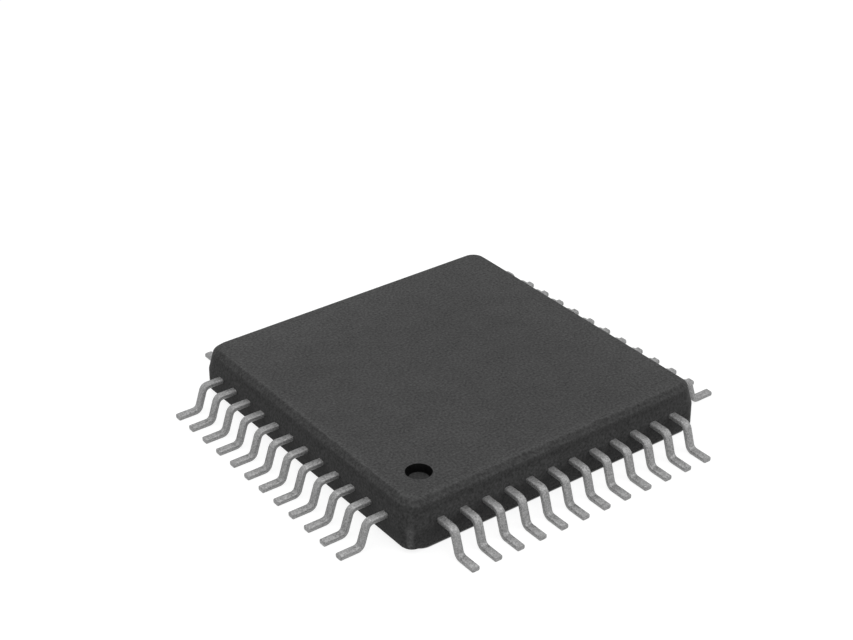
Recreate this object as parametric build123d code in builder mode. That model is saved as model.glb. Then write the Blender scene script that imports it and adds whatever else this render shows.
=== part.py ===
from build123d import *
import os

# A thin square chip package: a moulded body around a lead frame, with gull-wing leads on all
# four sides, a silicon die on the frame's paddle, and gold wires from the die to the leads.
# Millimetres. The origin is the centre of the seating plane that the feet stand on, and +Z is
# up. The dimple that marks lead 1 is at the corner towards -X and -Y. The leads are counted
# from there, counter-clockwise seen from above.

# Moulded body
body_side = 6.9
body_height = 0.95
standoff = 0.05
upper_draft = 11.0
lower_draft = 3.0
corner_radius = 0.34
top_edge_bevel = 0.095
bottom_edge_chamfer = 0.04

# Dimple at the first lead
dimple_inset = 0.85
dimple_rim_radius = 0.25
dimple_floor_radius = 0.20
dimple_depth = 0.165

# Leads, outside the body
sides = 4
leads_per_side = 12
lead_pitch = 0.50
lead_width = 0.17
lead_thickness = 0.10
shoulder_length = 0.385
leg_run = 0.155
foot_length = 0.46
bend_inner_radius = 0.08

# Lead fingers, inside the body
finger_row_gap = 0.315
finger_tip_width = 0.14
finger_corner_gap = 0.15
finger_paddle_gap = 0.25

# Paddle and tie bars
paddle_side = 3.6
paddle_downset = 0.15
tie_bar_width = 0.15
tie_bar_slope_run = 0.20
tie_bar_end_cover = 0.15

# Die and the adhesive under it
die_side = 2.4
die_thickness = 0.25
attach_margin = 0.05
attach_thickness = 0.02

# Bond wires
wire_diameter = 0.025
wire_section_sides = 4
wire_loop_height = 0.12
wire_stitch_height = 0.05
pad_inset = 0.10
pad_corner_gap = 0.21
stitch_inset = 0.12

# Heights of the stack
parting_z = standoff + body_height / 2
top_z = standoff + body_height
lead_bottom_z = parting_z - lead_thickness / 2
lead_top_z = parting_z + lead_thickness / 2
paddle_bottom_z = lead_bottom_z - paddle_downset
paddle_top_z = paddle_bottom_z + lead_thickness
attach_top_z = paddle_top_z + attach_thickness
die_top_z = attach_top_z + die_thickness
wire_top_z = die_top_z + wire_loop_height

# The turn from one side to the next, and the last place in a row of leads
quarter_turn = 360 / sides
last_place = leads_per_side - 1

# Distances outwards from the centre, along a lead
half_body = body_side / 2
shoulder_end = half_body + shoulder_length
heel = shoulder_end + leg_run
toe = heel + foot_length
row_end = (lead_pitch * last_place + lead_width) / 2
finger_root = row_end + finger_row_gap
finger_tip = paddle_side / 2 + finger_paddle_gap
stitch = finger_tip + stitch_inset
pad = die_side / 2 - pad_inset

# Spacing of the fingers' tips and of the die's pads
finger_pitch = (paddle_side - 2 * finger_corner_gap) / last_place
pad_pitch = (die_side - 2 * pad_corner_gap) / last_place
bend_radius = bend_inner_radius + lead_thickness / 2

os.makedirs("parts", exist_ok=True)
inner_pieces = []

# Leads: a bent strip outside the body, and a finger that fans in towards the die
for side in range(sides):
    row = Plane.XY.rotated((0, 0, side * quarter_turn))
    for place in range(leads_per_side):
        step = place - last_place / 2
        across = step * lead_pitch
        tip_across = step * finger_pitch
        side_view = Plane(
            origin=row.from_local_coords((across, 0, 0)),
            x_dir=-row.y_dir,
            z_dir=-row.x_dir,
        )
        with BuildPart() as lead:
            with BuildLine(side_view):
                strip = FilletPolyline(
                    (finger_root, parting_z),
                    (shoulder_end, parting_z),
                    (heel, lead_thickness / 2),
                    (toe, lead_thickness / 2),
                    radius=bend_radius,
                )
            with BuildSketch(Plane(origin=strip @ 0, x_dir=row.x_dir, z_dir=strip % 0)):
                Rectangle(lead_width, lead_thickness)
            sweep(path=strip)
            with BuildSketch(row.offset(lead_bottom_z)):
                with BuildLine():
                    Polyline(
                        (across - lead_width / 2, -finger_root),
                        (tip_across - finger_tip_width / 2, -finger_tip),
                        (tip_across + finger_tip_width / 2, -finger_tip),
                        (across + lead_width / 2, -finger_root),
                        close=True,
                    )
                make_face()
            extrude(amount=lead_thickness)
        number = side * leads_per_side + place + 1
        lead.part.label = f"lead_{number:02d}"
        export_step(lead.part, f"parts/{lead.part.label}.step")
        inner_pieces.append(lead.part)

# Die paddle: a square plate, set down below the leads, with a tie bar to each corner
diagonal = 2**0.5
paddle_corner = paddle_side / 2 * diagonal
tie_bar_top = paddle_corner + tie_bar_slope_run
body_corner = half_body * diagonal - corner_radius * (diagonal - 1)
tie_bar_end = body_corner - tie_bar_end_cover
with BuildPart() as die_paddle:
    with BuildSketch(Plane.XY.offset(paddle_bottom_z)):
        Rectangle(paddle_side, paddle_side)
    extrude(amount=lead_thickness)
    for corner in range(sides):
        with BuildSketch(Plane.XZ.rotated((0, 0, (corner + 0.5) * quarter_turn))):
            with BuildLine():
                Polyline(
                    (paddle_corner - tie_bar_width, paddle_bottom_z),
                    (paddle_corner, paddle_bottom_z),
                    (tie_bar_top, lead_bottom_z),
                    (tie_bar_end, lead_bottom_z),
                    (tie_bar_end, lead_top_z),
                    (tie_bar_top, lead_top_z),
                    (paddle_corner, paddle_top_z),
                    (paddle_corner - tie_bar_width, paddle_top_z),
                    close=True,
                )
            make_face()
        extrude(amount=tie_bar_width / 2, both=True)
die_paddle.part.label = "die_paddle"
export_step(die_paddle.part, "parts/die_paddle.step")
inner_pieces.append(die_paddle.part)

# Adhesive between the paddle and the die
with BuildPart() as die_attach:
    with BuildSketch(Plane.XY.offset(paddle_top_z)):
        Rectangle(die_side + 2 * attach_margin, die_side + 2 * attach_margin)
    extrude(amount=attach_thickness)
die_attach.part.label = "die_attach"
export_step(die_attach.part, "parts/die_attach.step")
inner_pieces.append(die_attach.part)

# Silicon die
with BuildPart() as silicon_die:
    with BuildSketch(Plane.XY.offset(attach_top_z)):
        Rectangle(die_side, die_side)
    extrude(amount=die_thickness)
silicon_die.part.label = "silicon_die"
export_step(silicon_die.part, "parts/silicon_die.step")
inner_pieces.append(silicon_die.part)

# Bond wires: up from a pad of the die, out in a low loop, and down on a lead's finger
for side, side_name in enumerate(("front", "right", "back", "left")):
    row = Plane.XY.rotated((0, 0, side * quarter_turn))
    with BuildPart() as bond_wires:
        for place in range(leads_per_side):
            step = place - last_place / 2
            pad_across = step * pad_pitch
            tip_across = step * finger_pitch
            with BuildLine(row):
                loop = Polyline(
                    (pad_across, -pad, die_top_z),
                    (pad_across, -pad, wire_top_z),
                    (tip_across, -stitch, lead_top_z + wire_stitch_height),
                    (tip_across, -stitch, lead_top_z),
                )
            with BuildSketch(Plane(origin=loop @ 0, x_dir=row.x_dir, z_dir=loop % 0)):
                RegularPolygon(wire_diameter / 2, wire_section_sides)
            sweep(path=loop, transition=Transition.RIGHT)
    bond_wires.part.label = f"bond_wires_{side_name}"
    export_step(bond_wires.part, f"parts/{bond_wires.part.label}.step")
    inner_pieces.append(bond_wires.part)

# Moulded body: two drafted halves that meet at the parting plane, moulded around the frame
with BuildPart() as package_body:
    with BuildSketch(Plane.XY.offset(parting_z)) as parting_outline:
        Rectangle(body_side, body_side)
    extrude(amount=body_height / 2, taper=upper_draft)
    extrude(parting_outline.sketch, amount=-body_height / 2, taper=lower_draft)
    fillet(package_body.edges().filter_by(Plane.XY, reverse=True), radius=corner_radius)
    chamfer(package_body.faces().sort_by(Axis.Z)[-1].edges(), length=top_edge_bevel)
    chamfer(package_body.faces().sort_by(Axis.Z)[0].edges(), length=bottom_edge_chamfer)
    with Locations((dimple_inset - half_body, dimple_inset - half_body, top_z)):
        Cone(
            bottom_radius=dimple_floor_radius,
            top_radius=dimple_rim_radius,
            height=dimple_depth,
            align=(Align.CENTER, Align.CENTER, Align.MAX),
            mode=Mode.SUBTRACT,
        )
    add(inner_pieces, mode=Mode.SUBTRACT)
package_body.part.label = "package_body"
export_step(package_body.part, "parts/package_body.step")
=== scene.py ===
import math

import bpy
import numpy as np
from mathutils import Matrix, Vector


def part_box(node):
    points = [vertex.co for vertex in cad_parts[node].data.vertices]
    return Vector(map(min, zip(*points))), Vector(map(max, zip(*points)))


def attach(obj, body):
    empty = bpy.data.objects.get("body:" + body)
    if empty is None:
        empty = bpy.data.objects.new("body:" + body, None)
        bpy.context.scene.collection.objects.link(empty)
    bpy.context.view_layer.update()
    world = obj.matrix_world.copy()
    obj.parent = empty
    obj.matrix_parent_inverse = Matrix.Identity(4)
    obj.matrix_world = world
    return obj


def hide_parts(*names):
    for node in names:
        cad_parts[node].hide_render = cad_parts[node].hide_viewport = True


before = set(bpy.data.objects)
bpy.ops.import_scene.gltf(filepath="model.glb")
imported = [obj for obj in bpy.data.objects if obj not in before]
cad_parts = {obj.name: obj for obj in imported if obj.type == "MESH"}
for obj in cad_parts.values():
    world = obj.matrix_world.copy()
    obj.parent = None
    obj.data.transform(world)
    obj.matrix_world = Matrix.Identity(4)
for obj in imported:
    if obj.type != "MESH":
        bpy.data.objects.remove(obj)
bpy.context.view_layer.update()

MM = 0.001

# Sizes read from the frame. Lead 13 is the first one that points along +X
body_low, body_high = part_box("package_body")
lead_low, lead_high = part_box("lead_13")
HALF_BODY = body_high[0]
TOP_Z = body_high[2]
UNDERSIDE_Z = body_low[2]
PARTING_Z = (TOP_Z + UNDERSIDE_Z) / 2
FINGER_TIP = lead_low[0]
TOE = lead_high[0]

# Moulded body, as in the part
UPPER_DRAFT = math.radians(11.0)
LOWER_DRAFT = math.radians(3.0)
CORNER_RADIUS = 0.34 * MM
TOP_EDGE_BEVEL = 0.095 * MM
BOTTOM_EDGE_BEVEL = 0.04 * MM
DIMPLE_INSET = 0.85 * MM
DIMPLE_RIM_RADIUS = 0.25 * MM
DIMPLE_FLOOR_RADIUS = 0.20 * MM
DIMPLE_DEPTH = 0.165 * MM

# Leads, as in the part. The tip row runs from the middle of a side's first finger tip to its last
SIDES = 4
LEADS_PER_SIDE = 12
LEAD_PITCH = 0.50 * MM
LEAD_WIDTH = 0.17 * MM
LEAD_THICKNESS = 0.10 * MM
SHOULDER_LENGTH = 0.385 * MM
LEG_RUN = 0.155 * MM
BEND_RADIUS = 0.13 * MM
FINGER_ROOT = 3.15 * MM
FINGER_TIP_WIDTH = 0.14 * MM
FINGER_TIP_ROW = 3.30 * MM

# Fine rounding that only shows close up, and how far the edge of a toe's end is drawn in
BOTTOM_CORNER_RADIUS = 0.24 * MM
BOTTOM_EDGE_ROUNDING = 0.03 * MM
PARTING_ROUNDING = 0.20 * MM
BEVEL_FOOT_ROUNDING = 0.04 * MM
BEVEL_HEAD_ROUNDING = 0.02 * MM
DIMPLE_RIM_ROUNDING = 0.012 * MM
DIMPLE_FLOOR_ROUNDING = 0.03 * MM
PLATED_EDGE_RADIUS = 0.036 * MM
TOE_INSET = 0.6 * PLATED_EDGE_RADIUS

# Painted highlight down the upright corners, standing in for the white floor's reflection:
# the light strip's half width as a turn, the height it fades over, its share above
CORNER_HIGHLIGHT_WIDTH = math.radians(12.0)
CORNER_HIGHLIGHT_FADE = 0.15 * MM
CORNER_HIGHLIGHT_ABOVE = 0.1

# A painted highlight: the light line along the head of the top bevel
HEAD_SHINE = 0.17
HEAD_WIDTH = 0.03 * MM

# Painted bands of shade and light round the bevel and wall: height, width, and how much lighter,
# or darker under 0
WALL_LINES = (
    (0.97 * MM, 0.035 * MM, -0.09),
    (0.82 * MM, 0.045 * MM, -0.14),
    (0.31 * MM, 0.080 * MM, -0.11),
    (0.13 * MM, 0.050 * MM, 0.08),
)

# Distance from a bend to the ring that keeps it crisp
SUPPORT = 0.006 * MM

# Mesh steps of the body. A share is how far a ring stands on the way from one form to the next
CORNER_STEPS = 18
STRAIGHT_STEPS = 34
AROUND = SIDES * (CORNER_STEPS + STRAIGHT_STEPS)
BEND_POINTS = 7
RUN_POINTS = 7
UNDERSIDE_SHARES = (0.3, 0.7)
TOP_SHARES = (0.3, 0.6, 0.85)
DIMPLE_RIM_POINTS = 7
DIMPLE_FOOT_POINTS = 8
DIMPLE_FLOOR_SHARES = (0.9, 0.5)

# Mesh steps of a lead: shares of the leg's straight run, and of the inset at the toe
LEAD_BEND_STEPS = 14
LEAD_EDGE_POINTS = 5
LEG_SHARES = (0.04, 0.96)
TOE_INSET_SHARES = (0.3, 1.0)

# Grain: the coarse noise's part in the tone, and the noise values of the two end tones
COARSE_SHARE = 0.14
TONE_FROM = 0.3
TONE_TO = 0.7

# The camera, fitted to the feet of the two near rows
CAMERA_AZIMUTH = math.radians(-36.77)
CAMERA_ELEVATION = math.radians(30.12)
CAMERA_DISTANCE = 35.50 * MM
CAMERA_RIGHT = -0.390 * MM
CAMERA_UP = 1.701 * MM
CAMERA_NEAR = 0.5 * MM
CAMERA_FAR = 2000.0 * MM
FOCAL_PIXELS = 1808.9
PHOTO_WIDTH = 853
SENSOR_WIDTH = 36.0

# The floor, and the dark area on it under the body: a painted contact shadow, a rounded square
# where the floor is not lifted to white, so that the cast shadow there shows dark
FLOOR_SIZE = 400.0 * MM
FLOOR_COLOUR = 0.30
FLOOR_ROUGHNESS = 0.9
FLOOR_LIFT = 0.85
CONTACT_HALF = 3.30 * MM
CONTACT_SHIFT = (-0.04 * MM, 0.105 * MM)
CONTACT_CORNER = 0.30 * MM
CONTACT_BLUR = 0.03 * MM

# Light: the room's level, and each lamp's place, the point it faces, its two sides and strength
WHITE = (1.0, 1.0, 1.0, 1.0)
ROOM_LIGHT = 0.57
LAMPS = {
    "soft_box": ((21 * MM, -20 * MM, 28 * MM), (0.0, 0.0, 0.0), (26 * MM, 26 * MM), 0.12),
    "overhead": ((0.0, 0.0, 30 * MM), (0.0, 0.0, 0.0), (30 * MM, 30 * MM), 0.10),
    "low_strip": ((-3 * MM, 0.0, 9 * MM), (-3 * MM, 0.0, 0.0), (4 * MM, 18 * MM), 0.20),
}


# Mesh making

def mesh_piece(name, points, faces, material):
    """A new object at the origin, with its place in its mesh, smooth shaded."""
    mesh = bpy.data.meshes.new(name)
    mesh.from_pydata(points.tolist(), [], faces)
    mesh.materials.append(material)
    mesh.shade_smooth()
    mesh.update()
    piece = bpy.data.objects.new(name, mesh)
    bpy.context.scene.collection.objects.link(piece)
    return piece


def ring_faces(rings, around):
    """Quads between neighbouring rings of a closed tube, then a fan over its first ring and one
    over its last. The two poles of the fans are the points after the rings."""
    ring, step = np.meshgrid(np.arange(rings - 1), np.arange(around), indexing="ij")
    here = ring * around + step
    beside = ring * around + (step + 1) % around
    quads = np.stack([here, beside, beside + around, here + around], axis=-1).reshape(-1, 4)
    here = np.arange(around)
    beside = (here + 1) % around
    last = (rings - 1) * around
    first_pole = np.full(around, rings * around)
    start = np.stack([beside, here, first_pole], axis=-1)
    end = np.stack([last + here, last + beside, first_pole + 1], axis=-1)
    return quads.tolist() + start.tolist() + end.tolist()


def tube_piece(name, rings, material):
    """A closed skin: rings is an array (ring, point, xyz), and each end is closed at its middle."""
    count, around, _ = rings.shape
    poles = np.stack([rings[0].mean(axis=0), rings[-1].mean(axis=0)])
    points = np.concatenate([rings.reshape(-1, 3), poles])
    return mesh_piece(name, points, ring_faces(count, around), material)


def raised(flat, z):
    """Flat rings (ring, point, xy), each lifted to its own height."""
    height = np.broadcast_to(z[:, None, None], flat.shape[:2] + (1,))
    return np.concatenate([flat, height], axis=-1)


def between(first, last, shares):
    """Rings between two others: each is the straight blend of them by its share."""
    share = np.reshape(shares, (-1, 1, 1))
    return first * (1 - share) + last * share


# Shader helpers

def new_material(name):
    """A node material with its Principled BSDF, ready to be wired."""
    material = bpy.data.materials.new(name)
    material.use_nodes = True
    tree = material.node_tree
    shader = next(n for n in tree.nodes if n.type == "BSDF_PRINCIPLED")
    return material, tree, shader


def add_node(tree, kind, sockets=None, **settings):
    """A node of a kind, with its own settings first and then the values of its sockets."""
    node = tree.nodes.new(kind)
    for key, value in settings.items():
        setattr(node, key, value)
    for key, value in (sockets or {}).items():
        node.inputs[key].default_value = value
    return node


def grey(level):
    """An even grey: the same level in red, green and blue."""
    return (level, level, level)


# Grain: fine mottling for moulded and plated surfaces

def grain_group():
    """Two sizes of noise on a position: the fine one for the height, both mixed for the tone."""
    group = bpy.data.node_groups.new("surface_grain", "ShaderNodeTree")
    face = group.interface
    face.new_socket("Position", in_out="INPUT", socket_type="NodeSocketVector")
    for name in ("Fine Scale", "Coarse Scale"):
        face.new_socket(name, in_out="INPUT", socket_type="NodeSocketFloat")
    for name in ("Height", "Tone"):
        face.new_socket(name, in_out="OUTPUT", socket_type="NodeSocketFloat")
    take = group.nodes.new("NodeGroupInput")
    give = group.nodes.new("NodeGroupOutput")
    fine = add_node(group, "ShaderNodeTexNoise", {"Detail": 3.0, "Roughness": 0.6})
    coarse = add_node(group, "ShaderNodeTexNoise", {"Detail": 2.0, "Roughness": 0.5})
    blend = add_node(group, "ShaderNodeMix", {"Factor": COARSE_SHARE}, data_type="FLOAT")
    link = group.links.new
    link(take.outputs["Position"], fine.inputs["Vector"])
    link(take.outputs["Fine Scale"], fine.inputs["Scale"])
    link(take.outputs["Position"], coarse.inputs["Vector"])
    link(take.outputs["Coarse Scale"], coarse.inputs["Scale"])
    link(fine.outputs["Fac"], blend.inputs["A"])
    link(coarse.outputs["Fac"], blend.inputs["B"])
    link(fine.outputs["Fac"], give.inputs["Height"])
    link(blend.outputs["Result"], give.inputs["Tone"])
    return group


GRAIN = grain_group()


def grained(name, dark, light, rough, fine, coarse, bump, depth, metallic=0.0, specular=0.5,
            painted_light_gain=1.0):
    """A grained finish: the tone runs from dark to light, the roughness over a range, and the
    fine grain raises the surface by depth. The piece's own point attribute of painted highlights
    and painted shade scales the tone: where it is 1 the tone is as many times as light as the last
    argument says."""
    material, tree, shader = new_material(name)
    link = tree.links.new
    where = add_node(tree, "ShaderNodeTexCoord")
    grain = add_node(tree, "ShaderNodeGroup", {"Fine Scale": fine, "Coarse Scale": coarse},
                     node_tree=GRAIN)
    link(where.outputs["Object"], grain.inputs["Position"])
    tone = add_node(tree, "ShaderNodeValToRGB")
    first, last = tone.color_ramp.elements
    first.position = TONE_FROM
    first.color = (*dark, 1.0)
    last.position = TONE_TO
    last.color = (*light, 1.0)
    link(grain.outputs["Tone"], tone.inputs["Fac"])
    # Painted highlights and painted shade, read from the piece's point attribute
    painted_light_and_shade = add_node(tree, "ShaderNodeAttribute", attribute_name="painted_light_and_shade")
    gain = add_node(tree, "ShaderNodeMapRange", {"To Min": 1.0, "To Max": painted_light_gain}, clamp=False)
    lit = add_node(tree, "ShaderNodeVectorMath", operation="SCALE")
    link(painted_light_and_shade.outputs["Fac"], gain.inputs["Value"])
    link(tone.outputs["Color"], lit.inputs[0])
    link(gain.outputs["Result"], lit.inputs["Scale"])
    link(lit.outputs["Vector"], shader.inputs["Base Color"])
    spread = add_node(tree, "ShaderNodeMapRange", {"To Min": rough[0], "To Max": rough[1]})
    link(grain.outputs["Tone"], spread.inputs["Value"])
    link(spread.outputs["Result"], shader.inputs["Roughness"])
    relief = add_node(tree, "ShaderNodeBump", {"Strength": bump, "Distance": depth})
    link(grain.outputs["Height"], relief.inputs["Height"])
    link(relief.outputs["Normal"], shader.inputs["Normal"])
    shader.inputs["Metallic"].default_value = metallic
    shader.inputs["Specular IOR Level"].default_value = specular
    return material


# Finishes. Noise scales are in cycles a metre: 20,000 is a grain of about 0.05 mm
# The moulding's painted highlights are up to 2.2 times as light as its tone
moulding = grained(
    "moulding_compound", dark=grey(0.030), light=grey(0.095), rough=(0.55, 0.75),
    fine=21000.0, coarse=2500.0, bump=0.6, depth=0.006 * MM, specular=0.08, painted_light_gain=2.2)
pin_floor = grained(
    "pin_floor", dark=grey(0.030), light=grey(0.066), rough=(0.5, 0.7),
    fine=23000.0, coarse=2500.0, bump=0.3, depth=0.003 * MM, specular=0.08)
# The dimple's wall is painted nearly black: painted shade and a painted dark reflection of the wall
# across the recess
pin_wall_painted_shade = grained(
    "pin_wall_painted_shade", dark=grey(0.003), light=grey(0.006), rough=(0.3, 0.45),
    fine=20000.0, coarse=2500.0, bump=0.1, depth=0.002 * MM, specular=0.05)
tin_plate = grained(
    "tin_plate", dark=grey(0.14), light=grey(0.49), rough=(0.38, 0.58),
    fine=36000.0, coarse=16000.0, bump=0.8, depth=0.003 * MM, metallic=0.63)
frame_alloy = grained(
    "frame_alloy", dark=(0.60, 0.36, 0.24), light=(0.72, 0.45, 0.31), rough=(0.30, 0.45),
    fine=20000.0, coarse=3000.0, bump=0.2, depth=0.002 * MM, metallic=1.0)
adhesive = grained(
    "silver_adhesive", dark=grey(0.42), light=grey(0.56), rough=(0.5, 0.7),
    fine=30000.0, coarse=4000.0, bump=0.3, depth=0.003 * MM, metallic=0.4)
silicon = grained(
    "silicon", dark=(0.10, 0.11, 0.14), light=(0.14, 0.15, 0.19), rough=(0.15, 0.25),
    fine=12000.0, coarse=3000.0, bump=0.05, depth=0.001 * MM, metallic=0.4)
gold = grained(
    "bond_gold", dark=(0.80, 0.56, 0.20), light=(0.92, 0.68, 0.28), rough=(0.15, 0.25),
    fine=30000.0, coarse=6000.0, bump=0.1, depth=0.001 * MM, metallic=1.0)


# Moulded body

def around_square(half, radius):
    """Points round squares, one ring for each half side and corner radius, counter-clockwise seen
    from above. Each corner is a quarter arc, and its centre stands on the diagonal, the radius in
    from both sides. Each straight is spaced by a cosine, so that its points crowd towards the
    corners."""
    start = np.arange(SIDES) * math.pi / 2
    diagonal = np.stack([np.cos(start + math.pi / 4), np.sin(start + math.pi / 4)], axis=-1)
    turn = start[:, None] + np.linspace(0.0, math.pi / 2, CORNER_STEPS + 1)
    flat = (half - radius)[:, None, None, None]
    centre = flat * math.sqrt(2) * diagonal[:, None]
    arc = centre + radius[:, None, None, None] * np.stack([np.cos(turn), np.sin(turn)], axis=-1)
    along = -np.stack([np.cos(start), np.sin(start)], axis=-1)
    share = (1 - np.cos(np.linspace(0.0, math.pi, STRAIGHT_STEPS + 1)[1:-1])) / 2
    straight = arc[:, :, -1:] + share[:, None] * 2 * flat * along[:, None]
    return np.concatenate([arc, straight], axis=2).reshape(len(half), AROUND, 2)


def wall(z):
    """Half side of the drafted wall at a height: it leans in above the parting line and, less,
    below it."""
    above = np.maximum(z - PARTING_Z, 0.0)
    below = np.maximum(PARTING_Z - z, 0.0)
    return HALF_BODY - above * math.tan(UPPER_DRAFT) - below * math.tan(LOWER_DRAFT)


def corner_radius(z):
    """Radius of the body's upright corners at a height: they sharpen from the parting line down
    to the underside."""
    share = np.clip((PARTING_Z - z) / (PARTING_Z - UNDERSIDE_Z), 0.0, 1.0)
    return CORNER_RADIUS + share * (BOTTOM_CORNER_RADIUS - CORNER_RADIUS)


def rounded_bend(before, bend, after, radius):
    """Points of an arc tangent to the two straight runs that meet at a bend. Its centre is on
    their bisector, and each point stands from it by the arc's two end radii, blended by the sines
    of the turn that is left and the turn that is made, over the sine of the whole turn."""
    come = (before - bend) / np.linalg.norm(before - bend)
    leave = (after - bend) / np.linalg.norm(after - bend)
    half_angle = math.acos(float(come @ leave)) / 2
    inward = (come + leave) / np.linalg.norm(come + leave)
    centre = bend + inward * radius / math.sin(half_angle)
    first = bend + come * radius / math.tan(half_angle) - centre
    last = bend + leave * radius / math.tan(half_angle) - centre
    share = np.linspace(0.0, 1.0, BEND_POINTS)[:, None]
    whole = math.pi - 2 * half_angle
    blend = (np.sin((1 - share) * whole) * first + np.sin(share * whole) * last) / math.sin(whole)
    return centre + blend


def body_profile():
    """Half sides and heights of the outside, from the underside up to the top face: two drafted
    walls that meet in a worn ridge, with a bevel at the top and a small one at the bottom. Every
    bend is an arc, and each straight run has even points and one near each of its ends."""
    low_z = UNDERSIDE_Z + BOTTOM_EDGE_BEVEL * math.cos(LOWER_DRAFT)
    high_z = TOP_Z - TOP_EDGE_BEVEL * math.cos(UPPER_DRAFT)
    corners = np.array([
        (0.0, UNDERSIDE_Z),
        (wall(UNDERSIDE_Z) - BOTTOM_EDGE_BEVEL, UNDERSIDE_Z),
        (wall(low_z), low_z),
        (HALF_BODY, PARTING_Z),
        (wall(high_z), high_z),
        (wall(TOP_Z) - TOP_EDGE_BEVEL, TOP_Z),
        (0.0, TOP_Z),
    ])
    roundings = (BOTTOM_EDGE_ROUNDING, BOTTOM_EDGE_ROUNDING, PARTING_ROUNDING,
                 BEVEL_FOOT_ROUNDING, BEVEL_HEAD_ROUNDING)
    arcs = [rounded_bend(*corners[k:k + 3], radius) for k, radius in enumerate(roundings)]
    even = np.linspace(0.0, 1.0, RUN_POINTS + 2)[1:-1, None]
    points = [arcs[0][:1] - (SUPPORT, 0.0)]
    for arc, following in zip(arcs, arcs[1:]):
        run = following[0] - arc[-1]
        near = run * min(SUPPORT / np.linalg.norm(run), even[0, 0] / 2)
        points += [arc, arc[-1:] + near, arc[-1] + even * run, following[:1] - near]
    points += [arcs[-1], arcs[-1][-1:] - (SUPPORT, 0.0)]
    half, z = np.concatenate(points).T
    return half, z


def dimple_profile():
    """Radii and heights of the dimple: the top face, an arc over its rim, its sloped wall, an arc
    at the wall's foot, and its floor. Both arcs are tangent to the wall and to the flat beside it,
    so each starts its radius times the tangent of half its turn away from the sharp corner."""
    slope = math.atan2(DIMPLE_RIM_RADIUS - DIMPLE_FLOOR_RADIUS, DIMPLE_DEPTH)
    tangent = math.tan((math.pi / 2 - slope) / 2)
    floor_z = TOP_Z - DIMPLE_DEPTH
    lean = np.linspace(math.pi / 2, slope, DIMPLE_RIM_POINTS)
    rim_radius = DIMPLE_RIM_RADIUS + DIMPLE_RIM_ROUNDING * (tangent - np.cos(lean))
    rim_z = TOP_Z - DIMPLE_RIM_ROUNDING * (1 - np.sin(lean))
    turn = np.linspace(-slope, -math.pi / 2, DIMPLE_FOOT_POINTS)
    foot_radius = DIMPLE_FLOOR_RADIUS - DIMPLE_FLOOR_ROUNDING * (tangent - np.cos(turn))
    foot_z = floor_z + DIMPLE_FLOOR_ROUNDING * (1 + np.sin(turn))
    floor_radius = foot_radius[-1] * np.array(DIMPLE_FLOOR_SHARES)
    radius = np.concatenate([[rim_radius[0] + SUPPORT], rim_radius, foot_radius, floor_radius])
    z = np.concatenate([[TOP_Z], rim_z, foot_z, np.full(len(floor_radius), floor_z)])
    return radius, z


def body_rings():
    """Rings of the whole body, and the number of the dimple's first one: the underside blended
    out from its middle, the outside, the top face blended in to the dimple, and the dimple, whose
    points stand on the spokes from its middle to the points of the top face's edge."""
    half, z = body_profile()
    radius = np.maximum(corner_radius(z) - np.maximum(wall(z) - half, 0.0), SUPPORT)
    outside = raised(around_square(half, radius), z)
    underside = between(outside[0] * (0, 0, 1), outside[0], UNDERSIDE_SHARES)
    middle = DIMPLE_INSET - HALF_BODY
    spoke = outside[-1, :, :2] - middle
    spoke /= np.linalg.norm(spoke, axis=-1, keepdims=True)
    radius, depth = dimple_profile()
    dimple = raised(middle + radius[:, None, None] * spoke, depth)
    top = between(outside[-1], dimple[0], TOP_SHARES)
    shell = np.concatenate([underside, outside, top])
    return np.concatenate([shell, dimple]), len(shell)


def skin_painted_light(rings):
    """How much painted light or shade each point gets, for every ring and then the two poles. It
    adds up a bell of painted highlight over the middle of each corner's arc, full below the parting
    line and faint above it, a thin bell of painted highlight along the head of the top bevel, and a
    bell of painted shade or light for each faint line round the bevel and wall. A bell is e to the
    power of minus the square of the distance in widths."""
    turn = np.linspace(-1.0, 1.0, CORNER_STEPS + 1) * math.pi / 4
    bell = np.concatenate([np.exp(-(turn / CORNER_HIGHLIGHT_WIDTH) ** 2), np.zeros(STRAIGHT_STEPS - 1)])
    half = np.abs(rings[:, :, 0]).max(axis=1)
    z = rings[:, 0, 2]
    on_wall = half > wall(z) - TOP_EDGE_BEVEL
    share = np.clip((PARTING_Z + CORNER_HIGHLIGHT_FADE / 2 - z) / CORNER_HIGHLIGHT_FADE, CORNER_HIGHLIGHT_ABOVE, 1.0) * on_wall
    head = np.hypot(half - (wall(TOP_Z) - TOP_EDGE_BEVEL), z - TOP_Z) / HEAD_WIDTH
    lines = HEAD_SHINE * np.exp(-head ** 2)
    for height, width, lightness in WALL_LINES:
        lines += lightness * np.exp(-((z - height) / width) ** 2) * on_wall
    painted_light_and_shade = np.outer(share, np.tile(bell, SIDES)) + lines[:, None]
    return np.append(painted_light_and_shade, [0.0, 0.0])


def make_body():
    """The moulded skin. The dimple's wall has its own nearly black finish, painted shade for the
    recess, from the last step of its rim's arc to about halfway round the arc at its foot, and the
    rest of the dimple has another."""
    rings, dimple_from = body_rings()
    piece = tube_piece("moulded_skin", rings, moulding)
    # The skin's painted highlights and painted shade, as a point attribute that scales its tone
    painted_light_and_shade = piece.data.attributes.new("painted_light_and_shade", "FLOAT", "POINT")
    painted_light_and_shade.data.foreach_set("value", skin_painted_light(rings).astype(np.float32))
    piece.data.materials.append(pin_wall_painted_shade)
    piece.data.materials.append(pin_floor)
    wall_from = dimple_from + DIMPLE_RIM_POINTS - 1
    floor_from = dimple_from + DIMPLE_RIM_POINTS + DIMPLE_FOOT_POINTS // 2
    index = np.zeros(len(piece.data.polygons), dtype=np.int32)
    index[wall_from * AROUND:floor_from * AROUND] = 1
    index[floor_from * AROUND:(len(rings) - 1) * AROUND] = 2
    index[-AROUND:] = 2
    piece.data.polygons.foreach_set("material_index", index)
    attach(piece, "root")
    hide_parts("package_body")


# Leads

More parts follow.
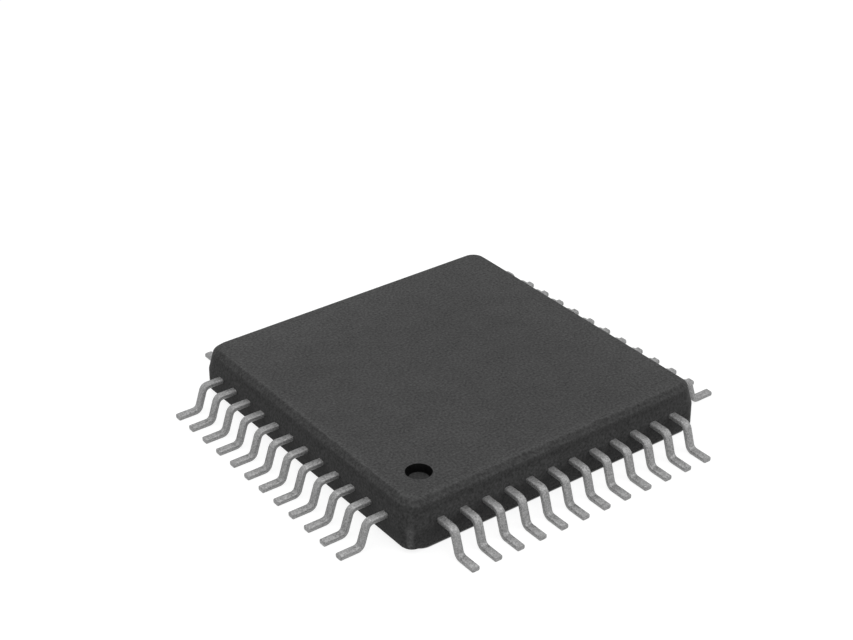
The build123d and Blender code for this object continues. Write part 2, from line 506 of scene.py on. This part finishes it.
def lead_stations():
    """Where a lead's section stands, from the finger's tip to the toe: distance out from the
    centre, height, and the angle below level that the strip heads. The middle line is level, an
    arc down, the straight leg, an arc back to level, and the foot, each tangent to the next, so
    an arc starts its radius times the tangent of half its turn away from the sharp corner."""
    foot_z = LEAD_THICKNESS / 2
    shoulder = HALF_BODY + SHOULDER_LENGTH
    heel = shoulder + LEG_RUN
    fall = math.atan2(PARTING_Z - foot_z, LEG_RUN)
    reach = BEND_RADIUS * math.tan(fall / 2)
    turn = np.linspace(0.0, fall, LEAD_BEND_STEPS + 1)
    upper_out = shoulder - reach + BEND_RADIUS * np.sin(turn)
    upper_z = PARTING_Z - BEND_RADIUS * (1 - np.cos(turn))
    lower_out = heel + reach - BEND_RADIUS * np.sin(turn[::-1])
    lower_z = foot_z + BEND_RADIUS * (1 - np.cos(turn[::-1]))
    leg = np.array(LEG_SHARES)
    leg_out = upper_out[-1] + leg * (lower_out[0] - upper_out[-1])
    leg_z = upper_z[-1] + leg * (lower_z[0] - upper_z[-1])
    finger = np.array([FINGER_TIP, FINGER_TIP + SUPPORT, FINGER_ROOT + SUPPORT, HALF_BODY,
                       upper_out[0] - SUPPORT])
    foot = np.array([lower_out[-1] + SUPPORT, TOE - 2 * SUPPORT, TOE - SUPPORT / 2, TOE])
    out = np.concatenate([finger, upper_out, leg_out, lower_out, foot])
    z = np.concatenate([np.full(len(finger), PARTING_Z), upper_z, leg_z, lower_z,
                        np.full(len(foot), foot_z)])
    angle = np.concatenate([np.zeros(len(finger)), turn, np.full(len(leg), fall), turn[::-1],
                            np.zeros(len(foot))])
    return out, z, angle


def strip_sections(width, thickness, radius):
    """Rounded rectangles in the plane across a lead, one for each width, thickness and corner
    radius, as sideways and upright offsets. Each corner is a quarter arc whose centre stands in
    from both edges by the radius."""
    corners = np.array([(1, 1), (-1, 1), (-1, -1), (1, -1)])
    turn = np.linspace(0.0, math.pi / 2, LEAD_EDGE_POINTS)
    angle = (np.arange(len(corners))[:, None] * math.pi / 2 + turn).ravel()
    right, up = np.repeat(corners, LEAD_EDGE_POINTS, axis=0).T
    sideways = right * (width / 2 - radius)[:, None] + radius[:, None] * np.cos(angle)
    upright = up * (thickness / 2 - radius)[:, None] + radius[:, None] * np.sin(angle)
    return sideways, upright


def make_lead(number):
    """One lead: its section carried along the stations, square to the way that the strip heads,
    so an upright offset goes out by the angle's sine and up by its cosine. The section is
    narrower and nearer the middle of its side at the finger's tip, and inset all round at the
    toe. The lead is made on the front side and turned."""
    side, place = divmod(number - 1, LEADS_PER_SIDE)
    step = place - (LEADS_PER_SIDE - 1) / 2
    across = step * LEAD_PITCH
    tip_across = step * FINGER_TIP_ROW / (LEADS_PER_SIDE - 1)
    out, z, angle = lead_stations()
    at_tip = out < FINGER_ROOT
    middle = np.where(at_tip, tip_across, across)
    width = np.where(at_tip, FINGER_TIP_WIDTH, LEAD_WIDTH)
    inset = np.zeros(len(out))
    inset[-len(TOE_INSET_SHARES):] = TOE_INSET * np.array(TOE_INSET_SHARES)
    sideways, upright = strip_sections(
        width - 2 * inset, LEAD_THICKNESS - 2 * inset, PLATED_EDGE_RADIUS - inset)
    outward = out[:, None] + upright * np.sin(angle)[:, None]
    height = z[:, None] + upright * np.cos(angle)[:, None]
    rings = np.stack([middle[:, None] + sideways, -outward, height], axis=-1)
    turn = np.array(Matrix.Rotation(side * math.tau / SIDES, 3, "Z"))
    piece = tube_piece(f"plated_lead_{number:02d}", rings @ turn.T, tin_plate)
    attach(piece, "root")
    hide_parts(f"lead_{number:02d}")


# Inner pieces keep the part's own meshes

def finish_node(name, material):
    """Gives a node of the part its finish."""
    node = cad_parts[name]
    node.data.materials.clear()
    node.data.materials.append(material)


def make_inside():
    """Finishes of the paddle, the adhesive, the die and the bond wires."""
    finish_node("die_paddle", frame_alloy)
    finish_node("die_attach", adhesive)
    finish_node("silicon_die", silicon)
    for side in ("front", "right", "back", "left"):
        finish_node(f"bond_wires_{side}", gold)


# Camera, floor and light

def make_camera():
    """Stands back from the origin at the fitted azimuth and elevation, moved right and up in its
    own plane, and looks straight along them. The lens is to the sensor's width as the focal
    length in pixels is to the photograph's width."""
    a, e = CAMERA_AZIMUTH, CAMERA_ELEVATION
    back = Vector((math.sin(a) * math.cos(e), -math.cos(a) * math.cos(e), math.sin(e)))
    right = Vector((0, 0, 1)).cross(back).normalized()
    up = back.cross(right)
    data = bpy.data.cameras.new("camera")
    data.sensor_width = SENSOR_WIDTH
    data.lens = FOCAL_PIXELS / PHOTO_WIDTH * SENSOR_WIDTH
    data.clip_start = CAMERA_NEAR
    data.clip_end = CAMERA_FAR
    camera = bpy.data.objects.new("camera", data)
    camera.location = back * CAMERA_DISTANCE + right * CAMERA_RIGHT + up * CAMERA_UP
    camera.rotation_mode = "QUATERNION"
    camera.rotation_quaternion = (-back).to_track_quat("-Z", "Y")
    bpy.context.scene.collection.objects.link(camera)
    bpy.context.scene.camera = camera


def seen_ray(tree):
    """1 for a ray from the camera and for a mirrored or passing ray, and 0 for a diffuse one."""
    path = add_node(tree, "ShaderNodeLightPath")
    first = add_node(tree, "ShaderNodeMath", operation="MAXIMUM")
    both = add_node(tree, "ShaderNodeMath", operation="MAXIMUM")
    tree.links.new(path.outputs["Is Camera Ray"], first.inputs[0])
    tree.links.new(path.outputs["Is Glossy Ray"], first.inputs[1])
    tree.links.new(first.outputs[0], both.inputs[0])
    tree.links.new(path.outputs["Is Transmission Ray"], both.inputs[1])
    return both.outputs[0]


def outside_contact(tree):
    """FLOOR_LIFT outside the rounded square that the body stands over, and 0 inside it: a smooth
    step of a point's distance from the inner square, whose corners are the centres of the round
    ones, where that distance passes their radius. The square is a painted contact shadow, shifted
    off the body's middle, and the darkness inside it is the floor's own cast shadow."""
    link = tree.links.new
    inner = CONTACT_HALF - CONTACT_CORNER
    where = add_node(tree, "ShaderNodeTexCoord")
    place = add_node(tree, "ShaderNodeMapping", {"Location": (*CONTACT_SHIFT, 0.0)})
    fold = add_node(tree, "ShaderNodeVectorMath", operation="ABSOLUTE")
    beyond = add_node(tree, "ShaderNodeVectorMath", {1: (inner, inner, 0.0)}, operation="SUBTRACT")
    clamp = add_node(tree, "ShaderNodeVectorMath", operation="MAXIMUM")
    reach = add_node(tree, "ShaderNodeVectorMath", operation="LENGTH")
    edge = add_node(tree, "ShaderNodeMapRange", {
        "From Min": CONTACT_CORNER - CONTACT_BLUR / 2,
        "From Max": CONTACT_CORNER + CONTACT_BLUR / 2,
        "To Max": FLOOR_LIFT,
    }, interpolation_type="SMOOTHSTEP")
    link(where.outputs["Object"], place.inputs["Vector"])
    link(place.outputs["Vector"], fold.inputs[0])
    link(fold.outputs["Vector"], beyond.inputs[0])
    link(beyond.outputs["Vector"], clamp.inputs[0])
    link(clamp.outputs["Vector"], reach.inputs[0])
    link(reach.outputs["Value"], edge.inputs["Value"])
    return edge.outputs["Result"]


def make_floor():
    """A pale floor. Rays from the camera, and mirrored or passing rays, see it lifted to white,
    but not in a rounded square under the body, a painted contact shadow in which the cast shadow
    stays dark. From below it is clear."""
    material, tree, shader = new_material("floor")
    link = tree.links.new
    shader.inputs["Base Color"].default_value = (*grey(FLOOR_COLOUR), 1.0)
    shader.inputs["Roughness"].default_value = FLOOR_ROUGHNESS
    shader.inputs["Specular IOR Level"].default_value = 0.0
    shader.inputs["Emission Color"].default_value = WHITE
    lift = add_node(tree, "ShaderNodeMath", operation="MULTIPLY")
    link(seen_ray(tree), lift.inputs[0])
    link(outside_contact(tree), lift.inputs[1])
    link(lift.outputs[0], shader.inputs["Emission Strength"])
    side = add_node(tree, "ShaderNodeNewGeometry")
    clear = add_node(tree, "ShaderNodeBsdfTransparent")
    mix = add_node(tree, "ShaderNodeMixShader")
    output = next(n for n in tree.nodes if n.type == "OUTPUT_MATERIAL")
    link(side.outputs["Backfacing"], mix.inputs["Fac"])
    link(shader.outputs["BSDF"], mix.inputs[1])
    link(clear.outputs["BSDF"], mix.inputs[2])
    link(mix.outputs["Shader"], output.inputs["Surface"])
    half = FLOOR_SIZE / 2
    points = np.array([(-half, -half, 0), (half, -half, 0), (half, half, 0), (-half, half, 0)])
    mesh_piece("floor", points, [(0, 1, 2, 3)], material)


def make_world():
    """An even white room. The camera, and mirrored or passing rays, see it as plain white."""
    world = bpy.data.worlds.new("room")
    bpy.context.scene.world = world
    world.use_nodes = True
    tree = world.node_tree
    background = next(n for n in tree.nodes if n.type == "BACKGROUND")
    background.inputs["Color"].default_value = WHITE
    level = add_node(tree, "ShaderNodeMapRange", {"To Min": ROOM_LIGHT, "To Max": 1.0})
    tree.links.new(seen_ray(tree), level.inputs["Value"])
    tree.links.new(level.outputs["Result"], background.inputs["Strength"])


def make_lamp(name, place, target, size, strength):
    """A soft lamp of two side lengths that faces a point. Strength is the light that it gives a
    surface at the object's middle which faces it, where 1 lights a white surface to white: the
    lamp's power is the strength times pi squared times the square of its distance."""
    data = bpy.data.lights.new(name, "AREA")
    data.shape = "RECTANGLE"
    data.size, data.size_y = size
    data.energy = strength * math.pi ** 2 * Vector(place).length_squared
    lamp = bpy.data.objects.new(name, data)
    lamp.location = place
    lamp.rotation_mode = "QUATERNION"
    lamp.rotation_quaternion = (Vector(place) - Vector(target)).to_track_quat("Z", "Y")
    lamp.visible_camera = False
    bpy.context.scene.collection.objects.link(lamp)


def make_light():
    """An even room, a soft box high in front, a weak one overhead, and a low strip over the half
    towards -X, from which the light falls off over the top face."""
    make_world()
    for name, settings in LAMPS.items():
        make_lamp(name, *settings)


make_camera()
make_floor()
make_light()
make_body()
for lead_number in range(1, SIDES * LEADS_PER_SIDE + 1):
    make_lead(lead_number)
make_inside()

scene = bpy.context.scene
scene.view_settings.view_transform = "Standard"
